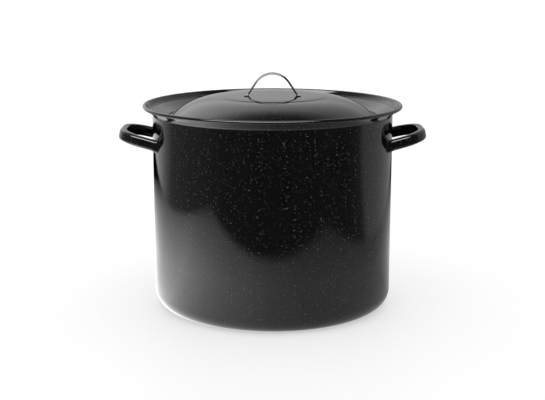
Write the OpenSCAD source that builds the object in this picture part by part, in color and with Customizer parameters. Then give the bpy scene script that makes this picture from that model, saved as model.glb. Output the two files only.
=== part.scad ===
// Water bath canner: enamelled steel pot with a recessed lid and a seven-jar wire rack inside.
// Millimetres. Origin at the centre of the base on the surface it stands on, +Z up,
// +X along the line through the two side handles.

/* [Pot] */
// Height of the pot over its rolled rim
pot_h = 276; // [200:1:340]
// Outer diameter of the straight wall
wall_d = 324; // [270:1:400]
// Thickness of the enamelled sheet
sheet = 1; // [0.8:0.1:1.4]
// Outer radius of the bend between base and wall
base_r = 22; // [12:1:30]
// Width of the flat ring that the base stands on
foot_w = 20; // [12:1:40]
// Height of the raised middle of the base above that ring
base_rise = 1.5; // [1:0.1:3]
// Height of the flared neck, from the top of the straight wall to the top of the rim
flare_h = 14; // [12:0.5:20]
// Distance that the rim stands out from the wall
flare_out = 13; // [11:0.5:18]
// Outer radius of the bend at the foot of the flare
neck_r = 3; // [2:0.5:4]
// Diameter of the rolled edge of the rim
rim_bead_d = 5; // [4:0.1:6]

/* [Side handles] */
// Distance from the top of the rim down to the middle of the handle at the wall
grip_drop = 51; // [40:1:90]
// Distance between the middles of the two legs at the wall
grip_spread = 104; // [90:1:130]
// Distance that the middle of the bar reaches out from the wall
grip_reach = 41.5; // [38:0.5:50]
// Radius of the two corners of the bar
grip_corner_r = 35; // [20:1:38]
// Angle at which the legs draw together away from the wall
grip_taper = 10; // [5:1:15]
// Upward tilt of the handle
grip_tilt = 14; // [0:0.5:20]
// Height of the pressed channel
grip_h = 14.6; // [12:0.2:17]
// Depth of the pressed channel
grip_t = 8.6; // [8.6:0.2:10]
// Thickness of the channel's sheet
grip_sheet = 1.5; // [1.2:0.1:2]
// Radius of the channel's outer corners
grip_edge_r = 4.2; // [3:0.1:4.2]

/* [Lid] */
// Distance that the middle of the lid's rolled edge lies outside the middle of the wall
lid_lap = 2.3; // [2:0.1:4]
// Diameter of the lid's rolled edge
lid_bead_d = 3.2; // [2.6:0.1:4]
// Width of the sloping brim
brim_w = 19.5; // [14:0.5:26]
// Slope of the brim
brim_slope = 25; // [15:1:30]
// Radius of the groove between the brim and the dome
gutter_r = 8; // [5:0.5:10]
// Radius of the dome's curve
dome_r = 106; // [80:1:110]
// Slope of the dome where it meets the groove
dome_fall = 39.5; // [25:0.5:42]
// Slope of the dome where it leaves the flat top
dome_start = 3; // [1:0.5:5]
// Height of the small step round the flat top
top_step = 0.7; // [0.4:0.1:1.2]

/* [Lid handle] */
// Height of the arch above the flat top
lid_grip_h = 31; // [26:0.5:40]
// Middle radius of the arch
lid_grip_r = 26.5; // [20:0.5:30]
// Slope of the two legs
lid_grip_slope = 56; // [50:1:65]
// Width of the strap
strap_w = 13; // [10:0.5:18]
// Thickness of the strap
strap_t = 2.4; // [1.6:0.1:3]
// Length of each flat toe
toe_l = 3; // [2:0.5:8]

/* [Rack] */
// Diameter of the jars that the rack holds
jar_d = 95; // [80:1:100]
// Play between the middle jar and the ring round it
jar_gap = 1.5; // [1:0.5:4]
// Gap between the rack and the pot wall
rack_gap = 5; // [5:0.5:9]
// Gap under the rack, between its wires and the floor of the pot
floor_gap = 0.3; // [0.2:0.1:1]
// Diameter of the ring wire
ring_wire = 5; // [4:0.1:5.5]
// Diameter of the divider wire
divider_wire = 4; // [3.5:0.1:5]
// Radius of the ring under the middle jar
hub_r = 38; // [34:0.5:42]
// Distance of each outer support ring from the circle through the outer jars
support_spread = 22.5; // [16:0.5:26]
// Height of the divider hoops above the floor of the pot, to the middle of the wire
divider_h = 75.5; // [66:0.5:110]
// Bend radius of the divider hoops; the upper rings are welded on where the top bends begin
divider_bend = 14; // [12:1:22]
// Height of the lower outer ring above the floor of the pot, to the middle of the wire
lower_ring_h = 27; // [20:0.5:40]

/* [Rack handles] */
// Length of each folding handle from its pivot to its crossbar
bail_l = 140; // [110:1:142]
// Distance between the middles of the two eyes of a handle
bail_spread = 72; // [50:1:76]
// Diameter of the handle wire
bail_wire = 3.2; // [3:0.1:3.4]
// Play between an eye and the ring that it turns on
eye_gap = 0.8; // [0.7:0.1:0.9]
// Bend radius of the handle's corners
bail_bend = 16; // [10:1:22]

/* [Fits] */
// Gap between the lid's rolled edge and the flare that it sits in
lid_gap = 0.3; // [0.2:0.1:0.6]
// Depth that one welded wire is pressed into the next
weld_sink = 0.3; // [0.2:0.1:0.4]
// Gap between a folded rack handle and the dividers under it
fold_gap = 0.8; // [0.5:0.1:2]

/* [Hidden] */
$fn = 96;

enamel = "#16171a";
plated_wire = "#b9bcc0";

// Pot
wall_r = wall_d / 2;
wall_mid = wall_r - sheet / 2;
foot_r = wall_r - base_r;
raised_r = foot_r - foot_w;
step_run = 3 * base_rise;
neck_z = pot_h - flare_h;
neck_mid = neck_r + sheet / 2;
bead_at = [wall_r + flare_out - rim_bead_d / 2, pot_h - rim_bead_d / 2];
neck_at = [wall_mid + neck_mid, neck_z];
to_bead = bead_at - neck_at;
flare_slope = atan2(to_bead[1], to_bead[0]) - asin(neck_mid / norm(to_bead));
flare_foot = neck_at + neck_mid * [-sin(flare_slope), cos(flare_slope)];

// A straight leg is slightly slimmer than the bend that it runs into
leg_slim = 0.05;
leg_run_in = 0.3;
// Distance that a bent sheet runs on into the straight ones that it meets
bend_lap = 0.05;

// Side handles
grip_foot_x = sqrt(pow(wall_r, 2) - pow(grip_spread / 2, 2));
grip_corner_x = wall_r + grip_reach - grip_corner_r;
grip_corner_y = grip_spread / 2
    - (grip_corner_r + (grip_corner_x - grip_foot_x) * sin(grip_taper)) / cos(grip_taper);
grip_leg = (grip_corner_x - grip_foot_x) / cos(grip_taper) + 2 * grip_t;
grip_z = pot_h - grip_drop;

// Lid: its middle surface from the rolled edge inwards
lid_edge_r = wall_mid + lid_lap;
lid_stand_off = (lid_bead_d / 2 + sheet / 2 + lid_gap) / cos(flare_slope);
lid_edge_z = flare_foot[1] + (lid_edge_r - flare_foot[0]) * tan(flare_slope) + lid_stand_off;
gutter_at = [lid_edge_r - brim_w - gutter_r * sin(brim_slope),
             lid_edge_z - brim_w * tan(brim_slope) + gutter_r * cos(brim_slope)];
dome_at = gutter_at - (gutter_r + dome_r) * [sin(dome_fall), cos(dome_fall)];
dome_edge = dome_at + dome_r * [sin(dome_start), cos(dome_start)];
step_w = 2 * top_step;
top_mid_z = dome_edge[1] + top_step;
lid_top_z = top_mid_z + sheet / 2;

// Lid handle
toe_bend = strap_t / 2 + 1.8;
arch_z = lid_top_z + lid_grip_h - strap_t / 2 - lid_grip_r;
leg_l = (lid_grip_h - strap_t - (lid_grip_r + toe_bend) * (1 - cos(lid_grip_slope)))
    / sin(lid_grip_slope);
leg_top = lid_grip_r * [sin(lid_grip_slope), cos(lid_grip_slope)];
leg_foot = leg_top + leg_l * [cos(lid_grip_slope), -sin(lid_grip_slope)];
toe_at = leg_foot + toe_bend * [sin(lid_grip_slope), cos(lid_grip_slope)];

// Rack
floor_z = base_rise + sheet;
run_z = floor_z + floor_gap + divider_wire / 2;
support_z = run_z + (divider_wire + ring_wire) / 2 - weld_sink;
weld_pitch = (ring_wire + divider_wire) / 2 - weld_sink;
rim_ring_r = wall_r - sheet - rack_gap - ring_wire / 2;
centre_ring_r = jar_d / 2 + jar_gap + ring_wire / 2;
outer_leg_r = rim_ring_r - weld_pitch;
inner_leg_r = centre_ring_r + weld_pitch;
jar_circle_r = (centre_ring_r + rim_ring_r) / 2;
divider_top_z = floor_z + divider_h;
upper_z = divider_top_z - divider_bend;
lower_z = floor_z + lower_ring_h;
divider_count = 6;
divider_step = 360 / divider_count;
first_divider = divider_step / 2;
run_start = hub_r - ring_wire / 2 - 2;

// Rack handles
pivot_x = sqrt(pow(rim_ring_r, 2) - pow(bail_spread / 2, 2));
eye_r = (ring_wire + bail_wire) / 2 + eye_gap;
crossing_x = bail_spread / 2 / tan(first_divider);
fold_rise = divider_top_z - upper_z + (divider_wire + bail_wire) / 2 + fold_gap;
fold_angle = atan(fold_rise / (pivot_x - crossing_x));

// A sector of a profile, from angle a0 to angle a1
module sector(r, a0, a1) {
    steps = 6;
    reach = 1.2 * r;
    rays = [for (i = [0:steps]) a0 + (a1 - a0) * i / steps];
    polygon(concat([[0, 0]], [for (a = rays) reach * [cos(a), sin(a)]]));
}

// A sheet of thickness t bent round a point, r to its middle, from angle a0 to angle a1
module bent_sheet(at, r, t, a0, a1) {
    lap = bend_lap / r * 180 / PI;
    translate(at)
        intersection() {
            difference() {
                circle(r + t / 2);
                circle(r - t / 2);
            }
            sector(r + t, a0 - lap, a1 + lap);
        }
}

// A straight stretch of sheet between two points of its middle line
module straight_sheet(from, to, t) {
    along = (to - from) / norm(to - from);
    side = t / 2 * [-along[1], along[0]];
    polygon([from + side, from - side, to - side, to + side]);
}

module rounded(w, h, r) {
    square([w - 2 * r, h], center = true);
    square([w, h - 2 * r], center = true);
    for (x = [-1, 1], y = [-1, 1])
        translate([x * (w / 2 - r), y * (h / 2 - r)])
            circle(r);
}

module pot_profile() {
    raised = [[0, base_rise + sheet / 2], [raised_r - step_run, base_rise + sheet / 2]];
    straight_sheet(raised[0], raised[1], sheet);
    polygon([[raised_r - step_run, base_rise], [raised_r, 0],
             [raised_r, sheet], [raised_r - step_run, base_rise + sheet]]);
    straight_sheet([raised_r, sheet / 2], [foot_r, sheet / 2], sheet);
    bent_sheet([foot_r, base_r], base_r - sheet / 2, sheet, -90, 0);
    straight_sheet([wall_mid, base_r], [wall_mid, neck_z], sheet);
    bent_sheet(neck_at, neck_mid, sheet, 90 + flare_slope, 180);
    straight_sheet(flare_foot, bead_at, sheet);
    translate(bead_at)
        circle(d = rim_bead_d);
}

module pot_body() {
    color(enamel)
        rotate_extrude($fn = 180)
            pot_profile();
}

// The pressed channel, open on the side that faces the pot, with every wall slimmer by slim on each face
module grip_section(slim = 0) {
    depth = grip_t - 2 * slim;
    height = grip_h - 2 * slim;
    hollow = height - 2 * grip_sheet + 4 * slim;
    back = grip_sheet - 2 * slim;
    difference() {
        union() {
            rounded(depth, height, grip_edge_r - slim);
            translate([-depth / 2, -height / 2])
                square([depth / 2, height]);
        }
        translate([-back, 0])
            rounded(depth, hollow, grip_edge_r - grip_sheet);
        translate([-depth, -hollow / 2])
            square([depth - back, hollow]);
    }
}

module grip_half() {
    leg_turn = 90 - grip_taper;
    translate([grip_corner_x, grip_corner_y, 0]) {
        rotate_extrude(angle = leg_turn)
            translate([grip_corner_r, 0])
                grip_section();
        rotate([90, 0, leg_turn])
            translate([grip_corner_r, 0, -grip_leg])
                linear_extrude(grip_leg + leg_run_in)
                    grip_section(leg_slim);
    }
}

module side_handle_right() {
    color(enamel)
        difference() {
            translate([grip_foot_x, 0, grip_z])
                rotate([0, -grip_tilt, 0])
                    translate([-grip_foot_x, 0, 0]) {
                        grip_half();
                        mirror([0, 1, 0])
                            grip_half();
                        rotate([90, 0, 0])
                            translate([grip_corner_x + grip_corner_r, 0, -grip_corner_y])
                                linear_extrude(2 * grip_corner_y)
                                    grip_section();
                    }
            cylinder(h = pot_h, r = wall_r, $fn = 180);
        }
}

module side_handle_left() {
    mirror([1, 0, 0])
        side_handle_right();
}

module lid_profile() {
    straight_sheet([0, top_mid_z], [dome_edge[0] - step_w, top_mid_z], sheet);
    polygon([[dome_edge[0] - step_w, top_mid_z - sheet / 2],
             dome_at + (dome_r - sheet / 2) * [sin(dome_start), cos(dome_start)],
             dome_at + (dome_r + sheet / 2) * [sin(dome_start), cos(dome_start)],
             [dome_edge[0] - step_w, top_mid_z + sheet / 2]]);
    bent_sheet(dome_at, dome_r, sheet, 90 - dome_fall, 90 - dome_start);
    bent_sheet(gutter_at, gutter_r, sheet, -90 - dome_fall, -90 + brim_slope);
    straight_sheet(gutter_at + gutter_r * [sin(brim_slope), -cos(brim_slope)],
                   [lid_edge_r, lid_edge_z], sheet);
    translate([lid_edge_r, lid_edge_z])
        circle(d = lid_bead_d);
}

module lid_shell() {
    color(enamel)
        rotate_extrude($fn = 180)
            lid_profile();
}

module strap_section(slim = 0) {
    rounded(strap_t - 2 * slim, strap_w - 2 * slim, strap_t / 2 - 0.1 - slim);
}

// One side of the lid's arch: half the arch, the leg, the bend at its foot and the toe
module strap_half() {
    rotate_extrude(angle = lid_grip_slope, start = 90 - lid_grip_slope)
        translate([lid_grip_r, 0])
            strap_section();
    rotate([0, 0, 90 - lid_grip_slope])
        translate([lid_grip_r, leg_run_in, 0])
            rotate([90, 0, 0])
                linear_extrude(leg_l + 2 * leg_run_in)
                    strap_section(leg_slim);
    translate(toe_at)
        rotate_extrude(angle = lid_grip_slope, start = 270 - lid_grip_slope)
            translate([toe_bend, 0])
                strap_section();
    translate([toe_at[0], toe_at[1] - toe_bend, 0])
        rotate([90, 0, 90])
            linear_extrude(toe_l)
                strap_section();
}

module lid_handle() {
    color(enamel)
        translate([0, 0, arch_z])
            rotate([90, 0, 0]) {
                strap_half();
                mirror([1, 0, 0])
                    strap_half();
            }
}

module wire_ring(r, z, d) {
    color(plated_wire)
        translate([0, 0, z])
            rotate_extrude($fn = 120)
                translate([r, 0])
                    circle(d = d, $fn = 32);
}

module rack_hub_ring() {
    wire_ring(hub_r, support_z, ring_wire);
}

module rack_inner_support() {
    wire_ring(jar_circle_r - support_spread, support_z, ring_wire);
}

module rack_outer_support() {
    wire_ring(jar_circle_r + support_spread, support_z, ring_wire);
}

module rack_centre_ring() {
    wire_ring(centre_ring_r, upper_z, ring_wire);
}

module rack_upper_rim() {
    wire_ring(rim_ring_r, upper_z, ring_wire);
}

module rack_lower_rim() {
    wire_ring(rim_ring_r, lower_z, ring_wire);
}

// Wire along X at height z
module wire_along(x0, x1, z, d) {
    translate([x0, 0, z])
        rotate([0, 90, 0])
            cylinder(h = x1 - x0, d = d, $fn = 32);
}

// Upright wire at x
module wire_up(x, z0, z1, d) {
    translate([x, 0, z0])
        cylinder(h = z1 - z0, d = d, $fn = 32);
}

// Quarter bend of wire in the XZ plane
module wire_bend(x, z, r, start, d) {
    translate([x, 0, z])
        rotate([90, 0, 0])
            rotate_extrude(angle = 90, start = start, $fn = 64)
                translate([r, 0])
                    circle(d = d, $fn = 32);
}

// A hoop that parts two outer jars, number n of the ring of hoops
module divider(n) {
    b = divider_bend;
    d = divider_wire;
    color(plated_wire)
        rotate([0, 0, first_divider + n * divider_step]) {
            wire_along(run_start, outer_leg_r - b, run_z, d);
            wire_bend(outer_leg_r - b, run_z + b, b, 270, d);
            wire_up(outer_leg_r, run_z + b, divider_top_z - b, d);
            wire_bend(outer_leg_r - b, divider_top_z - b, b, 0, d);
            wire_along(inner_leg_r + b, outer_leg_r - b, divider_top_z, d);
            wire_bend(inner_leg_r + b, divider_top_z - b, b, 90, d);
            wire_up(inner_leg_r, run_z, divider_top_z - b, d);
        }
}

// A folding handle lying inwards over the rack, turning on the upper rim
module rack_handle_right() {
    half = bail_spread / 2;
    color(plated_wire)
        translate([pivot_x, 0, upper_z])
            rotate([0, 180 + fold_angle, 0]) {
                for (side = [-1, 1])
                    translate([0, side * half, 0]) {
                        rotate([90, 0, 0])
                            rotate_extrude($fn = 48)
                                translate([eye_r, 0])
                                    circle(d = bail_wire, $fn = 24);
                        wire_along(eye_r, bail_l - bail_bend, 0, bail_wire);
                        translate([bail_l - bail_bend, -side * bail_bend, 0])
                            rotate_extrude(angle = side * 90, start = 0, $fn = 64)
                                translate([bail_bend, 0])
                                    circle(d = bail_wire, $fn = 24);
                    }
                translate([bail_l, bail_bend - half, 0])
                    rotate([-90, 0, 0])
                        cylinder(h = bail_spread - 2 * bail_bend, d = bail_wire, $fn = 32);
            }
}

module rack_handle_left() {
    mirror([1, 0, 0])
        rack_handle_right();
}

pot_body();
side_handle_left();
side_handle_right();
lid_shell();
lid_handle();
rack_hub_ring();
rack_inner_support();
rack_outer_support();
rack_centre_ring();
rack_upper_rim();
rack_lower_rim();
divider(0);  // divider_1
divider(1);  // divider_2
divider(2);  // divider_3
divider(3);  // divider_4
divider(4);  // divider_5
divider(5);  // divider_6
rack_handle_left();
rack_handle_right();
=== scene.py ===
# Water bath canner in speckled black enamel, with a plated wire jar rack inside.
import math
import random

import bpy
from mathutils import Matrix, Vector


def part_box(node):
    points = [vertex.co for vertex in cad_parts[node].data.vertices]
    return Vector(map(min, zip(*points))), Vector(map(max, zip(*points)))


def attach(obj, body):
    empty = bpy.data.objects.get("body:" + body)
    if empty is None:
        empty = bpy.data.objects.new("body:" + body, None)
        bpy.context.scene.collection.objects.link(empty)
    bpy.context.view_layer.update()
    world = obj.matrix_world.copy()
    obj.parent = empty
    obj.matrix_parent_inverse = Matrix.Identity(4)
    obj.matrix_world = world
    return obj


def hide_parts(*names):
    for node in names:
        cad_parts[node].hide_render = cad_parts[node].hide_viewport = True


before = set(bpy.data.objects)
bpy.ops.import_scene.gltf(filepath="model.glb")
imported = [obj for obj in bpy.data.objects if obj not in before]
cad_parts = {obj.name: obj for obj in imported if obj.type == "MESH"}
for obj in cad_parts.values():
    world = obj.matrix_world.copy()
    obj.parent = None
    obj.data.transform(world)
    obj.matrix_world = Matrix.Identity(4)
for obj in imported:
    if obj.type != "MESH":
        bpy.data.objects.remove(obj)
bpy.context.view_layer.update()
mm = 0.001
scene = bpy.context.scene
print("frame loaded:", len(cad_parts), "CAD nodes")


# ---- camera, light and floor

studio = {
    "cameraPlace": (0, -1.535, 0.472),
    "cameraTilt": 77.85,
    "lens": 75.3,
    "floorHalf": 40,
    "floorHeight": -0.0002,
    # brightness of the room by bearing in degrees, 0 at the front, and its change from horizon to zenith
    "room": [(-180, 0.62), (-150, 1.15), (-125, 0.8), (-104, 0.25), (-75, 0.22), (-40, 0.1),
             (0, 0.06), (70, 0.08), (84, 0.14), (91, 0.46), (150, 0.42), (180, 0.62)],
    "rise": [(0.0, 0.85), (0.2, 0.9), (0.33, 1.4), (0.7, 1.4),
             (0.78, 1.0), (0.86, 0.45), (0.91, 0.24), (1.0, 0.2)],
    # the table under the pot: its brightness by bearing, its edges and how it fades with the distance
    "table": [(-180, 1.2), (-110, 1.8), (-78, 2.9), (-60, 2.4), (-45, 1.8), (-30, 1.35),
              (-15, 1.05), (0, 0.76), (20, 0.6), (60, 0.55), (100, 0.42), (180, 1.0)],
    "tableLow": (-0.77, -0.53),
    "tableHigh": (0.56, 1.2),
    "tableEdge": 12.0,
    "tableFade": (0.38, 1.65),
    # the soft box overhead: its direction, its stretch from left to right and its brightness
    "lampTowards": (-0.12, -0.55, 0.83),
    "lampStretch": 0.36,
    "lampEdge": (0.93, 30.0),
    "lamp": 9.0,
}


def makeCamera():
    data = bpy.data.cameras.new("camera")
    data.lens = studio["lens"]
    data.sensor_width = 36
    camera = bpy.data.objects.new("camera", data)
    camera.location = studio["cameraPlace"]
    camera.rotation_euler = (math.radians(studio["cameraTilt"]), 0, 0)
    scene.collection.objects.link(camera)
    scene.camera = camera


makeCamera()
print("camera ready")


# ---- mesh tools

def arc(centre, radius, start, end, steps):
    # points of an arc in the profile plane, angles in degrees
    angles = [math.radians(start + (end - start) * i / steps) for i in range(steps + 1)]
    return [(centre[0] + radius * math.cos(a), centre[1] + radius * math.sin(a)) for a in angles]


def newPiece(name, verts, faces, creaseAngle=35):
    mesh = bpy.data.meshes.new(name)
    mesh.from_pydata(verts, [], faces)
    mesh.validate()
    mesh.update()
    mesh.shade_smooth()
    mesh.set_sharp_from_angle(angle=math.radians(creaseAngle))
    piece = bpy.data.objects.new(name, mesh)
    scene.collection.objects.link(piece)
    return piece


def lathe(name, profile, segments=256):
    # closed shell of revolution: the profile starts and ends on the axis, or closes on itself
    verts = []
    rings = []
    for r, z in profile:
        if r < 1e-7:
            rings.append([len(verts)])
            verts.append((0, 0, z * mm))
            continue
        rings.append(list(range(len(verts), len(verts) + segments)))
        for i in range(segments):
            a = 2 * math.pi * i / segments
            verts.append((r * mm * math.cos(a), r * mm * math.sin(a), z * mm))
    closed = len(rings[0]) > 1
    pairs = list(zip(rings, rings[1:] + rings[:1])) if closed else list(zip(rings, rings[1:]))
    faces = []
    for low, high in pairs:
        for i in range(segments):
            j = (i + 1) % segments
            if len(low) == 1:
                faces.append((low[0], high[j], high[i]))
            elif len(high) == 1:
                faces.append((low[i], low[j], high[0]))
            else:
                faces.append((low[i], low[j], high[j], high[i]))
    return newPiece(name, verts, faces)


def roundedPath(points, radii, steps=14):
    # a polyline in space whose inner corners are rounded to the given radii
    path = [Vector(points[0])]
    for before, corner, after, radius in zip(points, points[1:], points[2:], radii):
        corner = Vector(corner)
        inward = (Vector(before) - corner).normalized()
        outward = (Vector(after) - corner).normalized()
        half = inward.angle(outward) / 2
        centre = corner + (inward + outward).normalized() * radius / math.sin(half)
        first = corner + inward * radius / math.tan(half) - centre
        last = corner + outward * radius / math.tan(half) - centre
        turn = first.angle(last)
        for i in range(steps + 1):
            t = i / steps
            spoke = first * math.sin((1 - t) * turn) + last * math.sin(t * turn)
            path.append(centre + spoke / math.sin(turn))
    path.append(Vector(points[-1]))
    return path


def frames(path, side, closed=False):
    # for each point of the path: the point and two directions square to the path, with little twist
    count = len(path)
    made = []
    across = Vector(side)
    for i, point in enumerate(path):
        before = path[i - 1] if i or closed else point
        after = path[(i + 1) % count] if i + 1 < count or closed else point
        along = (after - before).normalized()
        across = (across - along * across.dot(along)).normalized()
        made.append((point, along.cross(across), across))
    return made


def sweep(name, stations, section, closed=False, creaseAngle=35):
    # section gives the outline points of station i, in millimetres; stations are in millimetres too
    verts = []
    for i, (point, u, v) in enumerate(stations):
        for x, y in section(i):
            verts.append((point + u * x + v * y) * mm)
    size = len(section(0))
    count = len(stations)
    faces = []
    for i in range(count if closed else count - 1):
        for j in range(size):
            k = (j + 1) % size
            nextRing = (i + 1) % count * size
            faces.append((i * size + j, i * size + k, nextRing + k, nextRing + j))
    if not closed:
        faces.append(tuple(reversed(range(size))))
        faces.append(tuple(range((count - 1) * size, count * size)))
    return newPiece(name, [tuple(v) for v in verts], faces, creaseAngle)


def roundSection(radius, steps=20):
    return arc((0, 0), radius, 0, 360 * (steps - 1) / steps, steps - 1)


def wire(name, path, radius, side):
    # drawn wire along an open path, its cut ends slightly rounded
    outline = roundSection(radius)
    endShare = 0.82
    chamfer = radius * 0.2
    first = (path[1] - path[0]).normalized() * chamfer
    last = (path[-1] - path[-2]).normalized() * chamfer
    path = [path[0], path[0] + first] + path[1:-1] + [path[-1] - last, path[-1]]

    def section(i):
        k = endShare if i in (0, len(path) - 1) else 1
        return [(x * k, y * k) for x, y in outline]

    return sweep(name, frames(path, side), section, creaseAngle=50)


def joined(name, parts):
    # one piece from several meshes
    verts = []
    faces = []
    for part in parts:
        start = len(verts)
        verts.extend(tuple(v.co) for v in part.data.vertices)
        faces.extend(tuple(start + i for i in p.vertices) for p in part.data.polygons)
        mesh = part.data
        bpy.data.objects.remove(part)
        bpy.data.meshes.remove(mesh)
    return newPiece(name, verts, faces, 50)


def mirror(piece):
    # a right-hand piece becomes the left-hand one
    piece.data.transform(Matrix.Scale(-1, 4, (1, 0, 0)))
    piece.data.flip_normals()


def dress(piece, material, body, slotName, *nodes):
    piece.data.materials.append(material)
    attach(piece, body)
    if nodes:
        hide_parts(*nodes)
    return piece


# ---- materials

def newGroup(name, inputs, outputs):
    group = bpy.data.node_groups.new(name, "ShaderNodeTree")
    for socketName, kind, value in inputs:
        socket = group.interface.new_socket(socketName, in_out="INPUT", socket_type=kind)
        if value is not None:
            socket.default_value = value
    for socketName, kind in outputs:
        group.interface.new_socket(socketName, in_out="OUTPUT", socket_type=kind)
    return group, group.nodes.new("NodeGroupInput"), group.nodes.new("NodeGroupOutput")


def node(tree, kind, links=None, **settings):
    # a node with its settings, and its inputs linked or set by name
    made = tree.nodes.new(kind)
    for key, value in settings.items():
        setattr(made, key, value)
    for socket, source in (links or {}).items():
        target = made.inputs[socket]
        if isinstance(source, bpy.types.NodeSocket):
            tree.links.new(source, target)
        else:
            target.default_value = source
    return made


def calculate(tree, operation, a, b=0.0, clamp=False):
    made = node(tree, "ShaderNodeMath", {0: a, 1: b}, operation=operation, use_clamp=clamp)
    return made.outputs[0]


def vectorMath(tree, operation, a, b=(0, 0, 0)):
    return node(tree, "ShaderNodeVectorMath", {0: a, 1: b}, operation=operation).outputs[0]


def scaled(tree, vector, factor):
    made = node(tree, "ShaderNodeVectorMath", {0: vector, "Scale": factor}, operation="SCALE")
    return made.outputs[0]


def noise(tree, place, scale, detail):
    return node(tree, "ShaderNodeTexNoise", {"Vector": place, "Scale": scale, "Detail": detail}).outputs


def spread(tree, source, low, high):
    made = node(tree, "ShaderNodeMapRange", {"Value": source, "To Min": low, "To Max": high})
    return made.outputs[0]


def blend(tree, factor, first, second):
    # two colours mixed by a factor; any of the three may come from another node
    made = node(tree, "ShaderNodeMix", data_type="RGBA")
    for socket, source in (("Factor", factor), ("A", first), ("B", second)):
        if isinstance(source, bpy.types.NodeSocket):
            tree.links.new(source, made.inputs[socket])
        else:
            made.inputs[socket].default_value = source
    return made.outputs["Result"]


def newMaterial(name):
    material = bpy.data.materials.new(name)
    material.use_nodes = True
    tree = material.node_tree
    return material, tree, tree.nodes["Principled BSDF"]


def grey(value):
    return (value, value, value, 1)


def ramp(tree, source, stops):
    # a colour ramp in greys from (position, brightness) pairs
    made = node(tree, "ShaderNodeValToRGB", {"Fac": source})
    elements = made.color_ramp.elements
    while len(elements) < len(stops):
        elements.new(1)
    for element, (position, value) in zip(elements, stops):
        element.position = position
        element.color = grey(value)
    return made.outputs["Color"]


def roundAbout(tree, place, stops):
    # the same from (degrees, brightness) pairs, by the bearing of a place; 0 is the front
    part = node(tree, "ShaderNodeSeparateXYZ", {"Vector": place})
    frontward = calculate(tree, "MULTIPLY", part.outputs["Y"], -1.0)
    turn = calculate(tree, "ARCTAN2", part.outputs["X"], frontward)
    along = calculate(tree, "ADD", calculate(tree, "MULTIPLY", turn, 0.5 / math.pi), 0.5)
    return ramp(tree, along, [(degrees / 360 + 0.5, value) for degrees, value in stops])


def makeWorld():
    # white to the eye and for soft light; the enamel mirrors a dim room, brighter to the left and behind
    world = bpy.data.worlds.new("studioWorld")
    world.use_nodes = True
    tree = world.node_tree
    background = tree.nodes["Background"]
    place = node(tree, "ShaderNodeTexCoord").outputs["Generated"]
    height = node(tree, "ShaderNodeSeparateXYZ", {"Vector": place}).outputs["Z"]
    walls = roundAbout(tree, place, studio["room"])
    room = vectorMath(tree, "MULTIPLY", walls, ramp(tree, height, studio["rise"]))
    # a soft box overhead in front, which draws the bright line along the rolled edges
    narrow = vectorMath(tree, "MULTIPLY", place, (studio["lampStretch"], 1, 1))
    facing = node(tree, "ShaderNodeVectorMath",
                  {0: vectorMath(tree, "NORMALIZE", narrow), 1: Vector(studio["lampTowards"]).normalized()},
                  operation="DOT_PRODUCT").outputs["Value"]
    edge, sharpness = studio["lampEdge"]
    lit = calculate(tree, "MULTIPLY", calculate(tree, "SUBTRACT", facing, edge), sharpness, clamp=True)
    lamp = calculate(tree, "MULTIPLY", lit, studio["lamp"])
    path = node(tree, "ShaderNodeLightPath")
    seen = blend(tree, path.outputs["Is Glossy Ray"], grey(1), vectorMath(tree, "ADD", room, lamp))
    tree.links.new(seen, background.inputs["Color"])
    background.inputs["Strength"].default_value = 1
    scene.world = world
    scene.view_settings.view_transform = "Standard"


makeWorld()
print("world ready")


def makeSpeckGroup():
    # small specks of enamel: a share of the cells holds one, of random size and brightness
    group, start, end = newGroup(
        "enamelSpecks",
        [("Place", "NodeSocketVector", None), ("Cells per metre", "NodeSocketFloat", 300.0),
         ("Share", "NodeSocketFloat", 0.4), ("Size", "NodeSocketFloat", 0.35)],
        [("Mask", "NodeSocketFloat"), ("Brightness", "NodeSocketFloat")])
    # a small shift of the place makes the outlines ragged
    ragged = noise(group, start.outputs["Place"], 900.0, 1.0)["Color"]
    shift = scaled(group, vectorMath(group, "SUBTRACT", ragged, (0.5, 0.5, 0.5)), 0.0003)
    place = vectorMath(group, "ADD", start.outputs["Place"], shift)
    cells = node(group, "ShaderNodeTexVoronoi",
                 {"Vector": place, "Scale": start.outputs["Cells per metre"], "Randomness": 1.0})
    chance = node(group, "ShaderNodeSeparateColor", {"Color": cells.outputs["Color"]})
    without = calculate(group, "SUBTRACT", 1.0, start.outputs["Share"])
    spare = calculate(group, "SUBTRACT", chance.outputs["Red"], without)
    rank = calculate(group, "DIVIDE", spare, start.outputs["Share"])
    radius = calculate(group, "MULTIPLY", rank, start.outputs["Size"])
    edge = calculate(group, "SUBTRACT", radius, cells.outputs["Distance"])
    mask = calculate(group, "MULTIPLY", edge, 14.0, clamp=True)
    group.links.new(mask, end.inputs["Mask"])
    group.links.new(chance.outputs["Green"], end.inputs["Brightness"])
    return group


def makeRippleGroup():
    # the soft waviness of fired enamel, as a height in metres
    group, start, end = newGroup(
        "enamelRipple",
        [("Place", "NodeSocketVector", None), ("Depth", "NodeSocketFloat", 0.00002)],
        [("Height", "NodeSocketFloat")])
    broad = noise(group, start.outputs["Place"], 22.0, 2.0)["Fac"]
    fine = noise(group, start.outputs["Place"], 110.0, 1.0)["Fac"]
    both = calculate(group, "ADD", broad, calculate(group, "MULTIPLY", fine, 0.008))
    height = calculate(group, "MULTIPLY", both, start.outputs["Depth"])
    group.links.new(height, end.inputs["Height"])
    return group


enamelLook = {
    "glassIndex": 1.52,
    "ground": (0.0020, 0.0019, 0.0025, 1),
    "speck": (0.22, 0.23, 0.25, 1),
    "roughness": 0.045,
    "fineCells": 640.0,
    "fineShare": 0.85,
    "fineSize": 0.3,
    "coarseCells": 210.0,
    "coarseShare": 0.35,
    "coarseSize": 0.11,
    "faintest": 0.06,
    "rippleDepth": 0.00015,
    "speckHeight": 0.000004,
}


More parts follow.
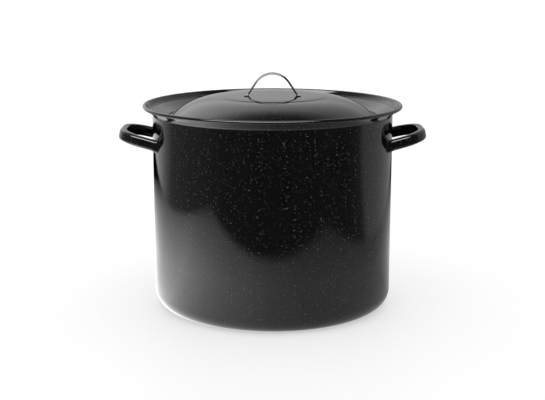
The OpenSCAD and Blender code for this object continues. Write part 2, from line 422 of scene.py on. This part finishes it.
def makeEnamel(name, specks, ripple):
    look = enamelLook
    material, tree, shader = newMaterial(name)
    shader.inputs["IOR"].default_value = look["glassIndex"]
    place = node(tree, "ShaderNodeTexCoord").outputs["Object"]
    fine = node(tree, "ShaderNodeGroup", node_tree=specks)
    coarse = node(tree, "ShaderNodeGroup", node_tree=specks)
    for made, kind in ((fine, "fine"), (coarse, "coarse")):
        tree.links.new(place, made.inputs["Place"])
        made.inputs["Cells per metre"].default_value = look[kind + "Cells"]
        made.inputs["Share"].default_value = look[kind + "Share"]
        made.inputs["Size"].default_value = look[kind + "Size"]
    mask = calculate(tree, "MAXIMUM", fine.outputs["Mask"], coarse.outputs["Mask"])
    # most specks are faint and a few are bright
    rare = calculate(tree, "POWER", fine.outputs["Brightness"], 2.0)
    bright = calculate(tree, "ADD", rare, look["faintest"])
    cover = calculate(tree, "MULTIPLY", mask, bright, clamp=True)
    tree.links.new(blend(tree, cover, look["ground"], look["speck"]), shader.inputs["Base Color"])
    haze = noise(tree, place, 9.0, 3.0)["Fac"]
    rough = spread(tree, haze, look["roughness"] * 0.7, look["roughness"] * 1.4)
    tree.links.new(rough, shader.inputs["Roughness"])
    waves = node(tree, "ShaderNodeGroup", node_tree=ripple)
    tree.links.new(place, waves.inputs["Place"])
    waves.inputs["Depth"].default_value = look["rippleDepth"]
    raised = calculate(tree, "MULTIPLY", mask, look["speckHeight"])
    height = calculate(tree, "ADD", waves.outputs["Height"], raised)
    bump = node(tree, "ShaderNodeBump", {"Height": height, "Distance": 1.0, "Strength": 1.0})
    tree.links.new(bump.outputs["Normal"], shader.inputs["Normal"])
    return material


wireLook = {"colour": (0.60, 0.61, 0.63, 1), "dull": (0.42, 0.43, 0.45, 1), "roughness": 0.2}


def makePlatedWire(name):
    look = wireLook
    material, tree, shader = newMaterial(name)
    shader.inputs["Metallic"].default_value = 1
    place = node(tree, "ShaderNodeTexCoord").outputs["Object"]
    cloud = noise(tree, place, 130.0, 4.0)["Fac"]
    tree.links.new(blend(tree, cloud, look["colour"], look["dull"]), shader.inputs["Base Color"])
    rough = spread(tree, cloud, look["roughness"] * 0.6, look["roughness"] * 1.6)
    tree.links.new(rough, shader.inputs["Roughness"])
    grain = noise(tree, place, 1500.0, 2.0)["Fac"]
    bump = node(tree, "ShaderNodeBump", {"Height": grain, "Distance": 0.00002, "Strength": 0.6})
    tree.links.new(bump.outputs["Normal"], shader.inputs["Normal"])
    return material


specks = makeSpeckGroup()
ripple = makeRippleGroup()
potEnamel = makeEnamel("speckledEnamel", specks, ripple)
platedWire = makePlatedWire("platedWire")
print("materials ready")


# ---- floor

def makeFloor():
    half = studio["floorHalf"]
    steps = 24
    verts = []
    for i in range(steps + 1):
        for j in range(steps + 1):
            verts.append((half * (2 * i / steps - 1), half * (2 * j / steps - 1), studio["floorHeight"]))
    faces = []
    for i in range(steps):
        for j in range(steps):
            corner = i * (steps + 1) + j
            faces.append((corner, corner + steps + 1, corner + steps + 2, corner + 1))
    floor = newPiece("floor", verts, faces)
    material, tree, shader = newMaterial("paleFloor")
    shader.inputs["Roughness"].default_value = 0.6
    place = node(tree, "ShaderNodeTexCoord").outputs["Object"]
    # half reflected light and half its own keeps the floor white and the shadow soft
    tree.links.new(spread(tree, noise(tree, place, 3.0, 2.0)["Fac"], 0.5, 0.52), shader.inputs["Base Color"])
    shader.inputs["Emission Color"].default_value = grey(1)
    shader.inputs["Emission Strength"].default_value = 0.5
    # what the enamel mirrors of it: a white table lit from the left, and a dark room past its edges
    part = node(tree, "ShaderNodeSeparateXYZ", {"Vector": place})
    away = node(tree, "ShaderNodeVectorMath", {0: place}, operation="LENGTH").outputs["Value"]
    fadeStart, fadeRate = studio["tableFade"]
    fade = calculate(tree, "MULTIPLY", calculate(tree, "SUBTRACT", away, fadeStart), fadeRate)
    near = calculate(tree, "SUBTRACT", 1.0, calculate(tree, "MAXIMUM", fade, 0.0), clamp=True)
    top = scaled(tree, roundAbout(tree, place, studio["table"]), near)
    inside = 1.0
    for axis, low, high in zip("XY", studio["tableLow"], studio["tableHigh"]):
        for edge, sign in ((low, 1), (high, -1)):
            past = calculate(tree, "SUBTRACT", part.outputs[axis], edge)
            soft = calculate(tree, "MULTIPLY", past, sign * studio["tableEdge"])
            inside = calculate(tree, "MULTIPLY", calculate(tree, "ADD", soft, 0.5, clamp=True), inside)
    mirrored = blend(tree, inside, roundAbout(tree, place, studio["room"]), top)
    glow = node(tree, "ShaderNodeEmission", {"Color": mirrored})
    path = node(tree, "ShaderNodeLightPath")
    both = node(tree, "ShaderNodeMixShader", {0: path.outputs["Is Glossy Ray"]})
    tree.links.new(shader.outputs[0], both.inputs[1])
    tree.links.new(glow.outputs[0], both.inputs[2])
    tree.links.new(both.outputs[0], tree.nodes["Material Output"].inputs["Surface"])
    floor.data.materials.append(material)


makeFloor()


# ---- pot

potSize = {
    "wallR": 162,
    "sheet": 1.0,
    "baseR": 22,
    "footWidth": 20,
    "baseRise": 1.5,
    "flareHeight": 14,
    "neckR": 3,
    "beadR": 2.5,
    "wallSteps": 14,
}


def slopeTo(centre, radius, point):
    # direction of the straight part that leaves a bend of this radius and meets the point
    dx = point[0] - centre[0]
    dz = point[1] - centre[1]
    return math.atan2(dz, dx) - math.asin(radius / math.hypot(dx, dz))


def makePot():
    size = potSize
    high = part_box("pot_body")[1]
    rimR = high.x / mm
    top = high.z / mm
    t = size["sheet"]
    wall = size["wallR"]
    base = size["baseR"]
    bead = size["beadR"]
    footR = wall - base
    raisedR = footR - size["footWidth"]
    rise = size["baseRise"]
    neckZ = top - size["flareHeight"]
    neck = (wall + size["neckR"], neckZ)
    beadAt = (rimR - bead, top - bead)
    slope = slopeTo(neck, size["neckR"] + t / 2, beadAt)
    turn = math.degrees(slope)
    steps = size["wallSteps"]

    def onFlare(along, off):
        # a point of the flare, measured from the middle of the bead along the sheet and across it
        return (beadAt[0] + math.cos(slope) * along - math.sin(slope) * off,
                beadAt[1] + math.sin(slope) * along + math.cos(slope) * off)

    # outside, from the middle of the base to the rim
    outside = [(0, rise), (raisedR * 0.5, rise), (raisedR - 6, rise)]
    outside += arc((raisedR - 6, rise - 3.0), 3.0, 90, 62, 5)[1:]
    outside += [(raisedR - 1.0, 0.35), (raisedR + 0.6, 0.02), (raisedR + 2, 0), (footR, 0)]
    outside += arc((footR, base), base, -90, 0, 20)[1:]
    outside += [(wall, base + (neckZ - base) * i / steps) for i in range(1, steps + 1)]
    outside += arc(neck, size["neckR"], 180, 90 + turn, 8)[1:]
    outside.append(onFlare(-bead * 0.93, -t / 2))
    # rolled edge: round the bead from its tucked end to the top of the flare
    rolled = arc(beadAt, bead, turn - 168, turn + 118, 30)
    # inside, down from the rim
    inside = [onFlare(-bead * 2.2, t / 2)]
    inside += arc(neck, size["neckR"] + t, 90 + turn, 180, 8)
    inside += [(wall - t, neckZ - (neckZ - base) * i / steps) for i in range(1, steps + 1)]
    inside += arc((footR, base), base - t, 0, -90, 20)[1:]
    inside += [(raisedR + 2.4, t), (raisedR + 1.0, t + 0.05), (raisedR - 0.6, t + 0.4)]
    inside += [(raisedR - 3.4, rise + t - 0.35), (raisedR - 6, rise + t)]
    inside += [(raisedR * 0.5, rise + t), (0, rise + t)]
    pot = lathe("potBody", outside + rolled + inside)
    return dress(pot, potEnamel, "pot", "enamel", "pot_body")


makePot()
print("pot built")


# ---- side handles

gripSize = {
    "spread": 104,
    "reach": 41.5,
    "cornerR": 35,
    "taper": 10,
    "tilt": 14,
    "height": 14.6,
    "depth": 8.6,
    "sheet": 1.5,
    "edgeR": 4.2,
    "fillet": 1.3,
    "filletReach": 4.5,
    "drop": 51,
    "intoWall": 14,
}


def gripOutline(size):
    # pressed channel: rounded on the outside of the bow, hollow towards the pot
    w = size["depth"] / 2
    h = size["height"] / 2
    r = size["edgeR"]
    s = size["sheet"]
    lip = s / 2
    outline = arc((w - r, -h + r), r, -90, 0, 7) + arc((w - r, h - r), r, 0, 90, 7)
    outline += arc((-w + lip, h - lip), lip, 90, 270, 6)
    inner = r - s
    outline += arc((w - s - inner, h - s - inner), inner, 90, 0, 6)
    outline += arc((w - s - inner, -h + s + inner), inner, 0, -90, 6)
    outline += arc((-w + lip, -h + lip), lip, 90, 270, 6)
    return outline


def makeGrip(name, side, cadNode):
    size = gripSize
    wall = potSize["wallR"]
    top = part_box("pot_body")[1].z / mm
    half = size["spread"] / 2
    footX = math.sqrt(wall ** 2 - half ** 2)
    noseX = wall + size["reach"]
    taper = math.radians(size["taper"])
    cornerY = half - (noseX - footX) * math.tan(taper)
    back = size["intoWall"]
    start = (footX - back * math.cos(taper), -half - back * math.sin(taper), 0)
    points = [start, (noseX, -cornerY, 0), (noseX, cornerY, 0), (start[0], -start[1], 0)]
    bow = roundedPath(points, [size["cornerR"]] * 2, 18)
    # short steps along each leg near the wall, for the fillet
    shares = (0, 0.2, 0.3, 0.36, 0.41, 0.46, 0.52, 0.6, 0.75)
    frontLeg = [bow[0].lerp(bow[1], share) for share in shares]
    backLeg = [bow[-1].lerp(bow[-2], share) for share in reversed(shares)]
    path = frontLeg + bow[1:-1] + backLeg
    outline = gripOutline(size)
    tilt = Matrix.Rotation(-math.radians(size["tilt"]), 3, "Y")
    pivot = Vector((footX, 0, 0))
    lift = Vector((0, 0, top - size["drop"]))
    stations = []
    swell = []
    for point, u, v in frames(path, (0, 0, 1)):
        placed = pivot + tilt @ (point - pivot) + lift
        stations.append((placed, tilt @ u, tilt @ v))
        gap = math.hypot(placed.x, placed.y) - wall
        swell.append(max(0.0, 1 - max(gap, 0) / size["filletReach"]) ** 2 * size["fillet"])

    def section(i):
        # the outline, with its outer points moved out near the wall for the fillet of the weld
        k = swell[i]
        grown = []
        for x, y in outline:
            outer = math.hypot(x / (size["depth"] / 2), y / (size["height"] / 2)) > 0.8
            moveX = math.copysign(k, x) * min(1, abs(x) / 3) if outer else 0
            moveY = math.copysign(k, y) * min(1, abs(y) / 5) if outer else 0
            grown.append((x + moveX, y + moveY))
        return grown

    grip = sweep(name, stations, section, creaseAngle=40)
    inner = (wall - 0.4) * mm
    for vert in grip.data.vertices:
        # nothing of the handle passes through the wall
        k = max(1, inner / math.hypot(vert.co.x, vert.co.y))
        vert.co.x *= k
        vert.co.y *= k
    if side < 0:
        mirror(grip)
    return dress(grip, potEnamel, "pot", "enamel", cadNode)


makeGrip("sideHandleRight", 1, "side_handle_right")
makeGrip("sideHandleLeft", -1, "side_handle_left")
print("side handles built")


# ---- lid

lidSize = {
    "beadR": 1.6,
    "sheet": 1.0,
    "brimWidth": 19.5,
    "brimSlope": 25,
    "gutterR": 8,
    "domeR": 106,
    "domeFall": 39.5,
    "domeStart": 3,
    "topStep": 0.7,
}


def makeLid():
    size = lidSize
    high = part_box("lid_shell")[1]
    t = size["sheet"]
    edgeR = high.x / mm - size["beadR"]
    topZ = high.z / mm - t / 2
    fall = math.radians(size["domeFall"])
    begin = math.radians(size["domeStart"])
    turn = size["brimSlope"]
    slope = math.radians(turn)
    gutterX = edgeR - size["brimWidth"] - size["gutterR"] * math.sin(slope)
    reach = size["gutterR"] + size["domeR"]
    domeX = gutterX - reach * math.sin(fall)
    domeZ = topZ - size["topStep"] - size["domeR"] * math.cos(begin)
    gutterZ = domeZ + reach * math.cos(fall)
    edgeZ = gutterZ - size["gutterR"] * math.cos(slope) + size["brimWidth"] * math.tan(slope)
    topR = domeX + size["domeR"] * math.sin(begin)

    def skin(side):
        # one face of the sheet, from the middle outwards; side is 1 above and -1 below
        off = side * t / 2
        z = topZ + off
        points = [(0, z), (topR * 0.35, z), (topR * 0.7, z)]
        # the small rounded step round the flat top
        points += [(topR - 1.2, z), (topR - 0.85, z - 0.06), (topR - 0.6, z - 0.24)]
        points += [(topR - 0.38, z - 0.5), (topR - 0.15, z - 0.66), (topR, z - 0.7)]
        flank = size["domeFall"]
        points += arc((domeX, domeZ), size["domeR"] + off, 90 - size["domeStart"], 90 - flank, 40)[1:]
        points += arc((gutterX, gutterZ), size["gutterR"] - off, -90 - flank, turn - 90, 14)[1:]
        return points

    rolled = arc((edgeR, edgeZ), size["beadR"], turn + 150, turn - 155, 22)
    lid = lathe("lidShell", skin(-1) + list(reversed(rolled)) + list(reversed(skin(1))))
    return dress(lid, potEnamel, "lid", "enamel", "lid_shell")


makeLid()


strapSize = {
    "archR": 26.5,
    "slope": 56,
    "width": 13,
    "thick": 2.4,
    "sheet": 1.1,
    "toe": 3,
    "toeBend": 3,
    "edge": 0.5,
    "crown": 0.5,
}


def makeLidHandle():
    size = strapSize
    low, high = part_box("lid_handle")
    t = size["thick"]
    archZ = high.z / mm - t / 2 - size["archR"]
    toeZ = low.z / mm + t / 2
    slope = math.radians(size["slope"])
    lean = math.pi / 2 - slope
    apexZ = archZ + size["archR"] / math.sin(lean)
    footX = (size["archR"] - (toeZ - archZ) * math.sin(lean)) / math.cos(lean)
    tip = high.x / mm
    points = [(-tip, 0, toeZ), (-footX, 0, toeZ), (0, 0, apexZ), (footX, 0, toeZ), (tip, 0, toeZ)]
    path = roundedPath(points, [size["toeBend"], size["archR"], size["toeBend"]], 20)
    w = size["width"] / 2
    h = t / 2
    s = size["sheet"]
    edge = size["edge"]
    crown = size["crown"]
    # the strap's section: crowned on top, its edges turned down, hollow below
    steps = 12
    top = [(w * (2 * i / steps - 1), h - crown * (2 * i / steps - 1) ** 2) for i in range(1, steps)]
    outline = [(-w, edge - h)] + top + [(w, edge - h), (w - edge, -h), (w - s, -h)]
    outline += [(w - s - 0.5, h - s - crown * 0.7), (0, h - s), (-w + s + 0.5, h - s - crown * 0.7)]
    outline += [(-w + s, -h), (-w + edge, -h)]

    def section(i):
        return [(y, x) for x, y in outline]

    handle = sweep("lidHandle", frames(path, (0, 1, 0)), section, creaseAngle=30)
    return dress(handle, potEnamel, "lid", "enamel", "lid_handle")


makeLidHandle()
print("lid built")


# ---- rack

rackSize = {
    "ringR": 2.5,
    "dividerR": 2.0,
    "bend": 14,
    "sink": 0.3,
    "ringSteps": 192,
    "buttSwell": 0.07,
    "buttReach": 1.6,
    "dividers": 6,
}
up = Vector((0, 0, 1))


def makeRing(cadNode, name):
    # a wire ring, with the slight bulge of its butt weld at the back
    low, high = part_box(cadNode)
    wireR = rackSize["ringR"]
    radius = high.x / mm - wireR
    z = (low.z + high.z) / 2 / mm
    steps = rackSize["ringSteps"]
    path = []
    for i in range(steps):
        a = 2 * math.pi * i / steps + math.pi / 2
        path.append(Vector((radius * math.cos(a), radius * math.sin(a), z)))
    outline = roundSection(wireR)

    def section(i):
        away = min(i, steps - i) * 2 * math.pi * radius / steps
        k = 1 + rackSize["buttSwell"] * math.exp(-(away / rackSize["buttReach"]) ** 2)
        return [(x * k, y * k) for x, y in outline]

    ring = sweep(name, frames(path, (0, 0, 1), True), section, True, 60)
    return dress(ring, platedWire, "rack", "plated_wire", cadNode)


rings = {
    "rack_hub_ring": "rackHubRing",
    "rack_inner_support": "rackInnerSupport",
    "rack_outer_support": "rackOuterSupport",
    "rack_centre_ring": "rackCentreRing",
    "rack_upper_rim": "rackUpperRim",
    "rack_lower_rim": "rackLowerRim",
}
for cadNode, name in rings.items():
    makeRing(cadNode, name)


def ringPlace(cadNode):
    low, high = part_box(cadNode)
    return high.x / mm - rackSize["ringR"], (low.z + high.z) / 2 / mm


def dividerPlan():
    # the hoop's heights and radii, from the rings that it is welded to
    pitch = rackSize["ringR"] + rackSize["dividerR"] - rackSize["sink"]
    hubR, floorZ = ringPlace("rack_hub_ring")
    return {
        "startR": hubR - rackSize["ringR"] - 2,
        "outerR": ringPlace("rack_upper_rim")[0] - pitch,
        "innerR": ringPlace("rack_centre_ring")[0] + pitch,
        "runZ": floorZ - pitch,
        "topZ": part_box("divider_2")[1].z / mm - rackSize["dividerR"],
    }


def hoopDirection(index):
    angle = 2 * math.pi * (index + 0.5) / rackSize["dividers"]
    return Vector((math.cos(angle), math.sin(angle), 0))


def makeDivider(index):
    plan = dividerPlan()
    out = hoopDirection(index)
    corners = [("startR", "runZ"), ("outerR", "runZ"), ("outerR", "topZ"),
               ("innerR", "topZ"), ("innerR", "runZ")]
    points = [out * plan[r] + up * plan[z] for r, z in corners]
    path = roundedPath(points, [rackSize["bend"]] * 3, 14)
    hoop = wire("divider%d" % (index + 1), path, rackSize["dividerR"], out.cross(up))
    return dress(hoop, platedWire, "rack", "plated_wire", "divider_%d" % (index + 1))


for index in range(rackSize["dividers"]):
    makeDivider(index)


weldSize = {"crossing": (2.6, 2.6, 1.0), "foot": (3.0, 2.5, 1.1), "uneven": 0.07}


def weldBlob(place, along, across, size, rng):
    # a small uneven nugget of weld, flattened between the two wires
    rings = 6
    steps = 12
    normal = along.cross(across)
    verts = [tuple((place + normal * size[2]) * mm)]
    for i in range(1, rings):
        polar = math.pi * i / rings
        for j in range(steps):
            a = 2 * math.pi * j / steps
            flat = along * math.cos(a) * size[0] + across * math.sin(a) * size[1]
            offset = flat * math.sin(polar) + normal * math.cos(polar) * size[2]
            uneven = rng.uniform(1 - weldSize["uneven"], 1 + weldSize["uneven"])
            verts.append(tuple((place + offset * uneven) * mm))
    verts.append(tuple((place - normal * size[2]) * mm))
    last = len(verts) - 1
    faces = []
    for j in range(steps):
        k = (j + 1) % steps
        faces.append((0, 1 + j, 1 + k))
        faces.append((last, last - steps + k, last - steps + j))
        for i in range(rings - 2):
            low = 1 + i * steps
            faces.append((low + j, low + steps + j, low + steps + k, low + k))
    return newPiece("blob", verts, faces, 70)


def makeWelds():
    rng = random.Random(21)
    plan = dividerPlan()
    wireR = rackSize["dividerR"]
    crossing = weldSize["crossing"]
    blobs = []
    for index in range(rackSize["dividers"]):
        out = hoopDirection(index)
        about = up.cross(out)
        for cadNode in ("rack_hub_ring", "rack_inner_support", "rack_outer_support"):
            place = out * ringPlace(cadNode)[0] + up * (plan["runZ"] + wireR)
            blobs.append(weldBlob(place, out, about, crossing, rng))
        for cadNode in ("rack_upper_rim", "rack_lower_rim"):
            place = out * (plan["outerR"] + wireR) + up * ringPlace(cadNode)[1]
            blobs.append(weldBlob(place, up, about, crossing, rng))
        place = out * (plan["innerR"] - wireR) + up * ringPlace("rack_centre_ring")[1]
        blobs.append(weldBlob(place, up, about, crossing, rng))
        foot = out * plan["innerR"] + up * (plan["runZ"] + wireR * 0.8)
        blobs.append(weldBlob(foot, out, about, weldSize["foot"], rng))
    welds = joined("rackWelds", blobs)
    return dress(welds, platedWire, "rack", "plated_wire")


makeWelds()
print("rack built")


bailSize = {
    "length": 140,
    "spread": 72,
    "wireR": 1.6,
    "eyeR": 4.9,
    "bend": 16,
    "eyeTurn": 335,
    "eyeSteps": 30,
}


def makeBail(name, side, cadNode, body):
    size = bailSize
    rimR, upperZ = ringPlace("rack_upper_rim")
    half = size["spread"] / 2
    pivotX = math.sqrt(rimR ** 2 - half ** 2)
    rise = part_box(cadNode)[1].z / mm - size["wireR"] - upperZ
    angle = math.asin(rise / size["length"])
    # in the handle's own plane: x along its length, y along the hinge, z out of the plane
    curl = arc((0, 0), size["eyeR"], size["eyeTurn"], 0, size["eyeSteps"])
    local = [Vector((x, -half, z)) for x, z in curl]
    start = size["eyeR"]
    end = size["length"]
    corners = [(start, -half, 0), (end, -half, 0), (end, half, 0), (start, half, 0)]
    bow = roundedPath(corners, [size["bend"]] * 2, 14)
    local += bow[1:-1]
    local += [Vector((x, half, z)) for x, z in reversed(curl)]
    turn = Matrix.Rotation(math.pi + angle, 3, "Y")
    place = Vector((pivotX, 0, upperZ))
    path = [place + turn @ p for p in local]
    bail = wire(name, path, size["wireR"], turn @ Vector((0, 1, 0)))
    if side < 0:
        mirror(bail)
    return dress(bail, platedWire, body, "plated_wire", cadNode)


makeBail("rackHandleRight", 1, "rack_handle_right", "right_rack_handle")
makeBail("rackHandleLeft", -1, "rack_handle_left", "left_rack_handle")
print("rack handles built")
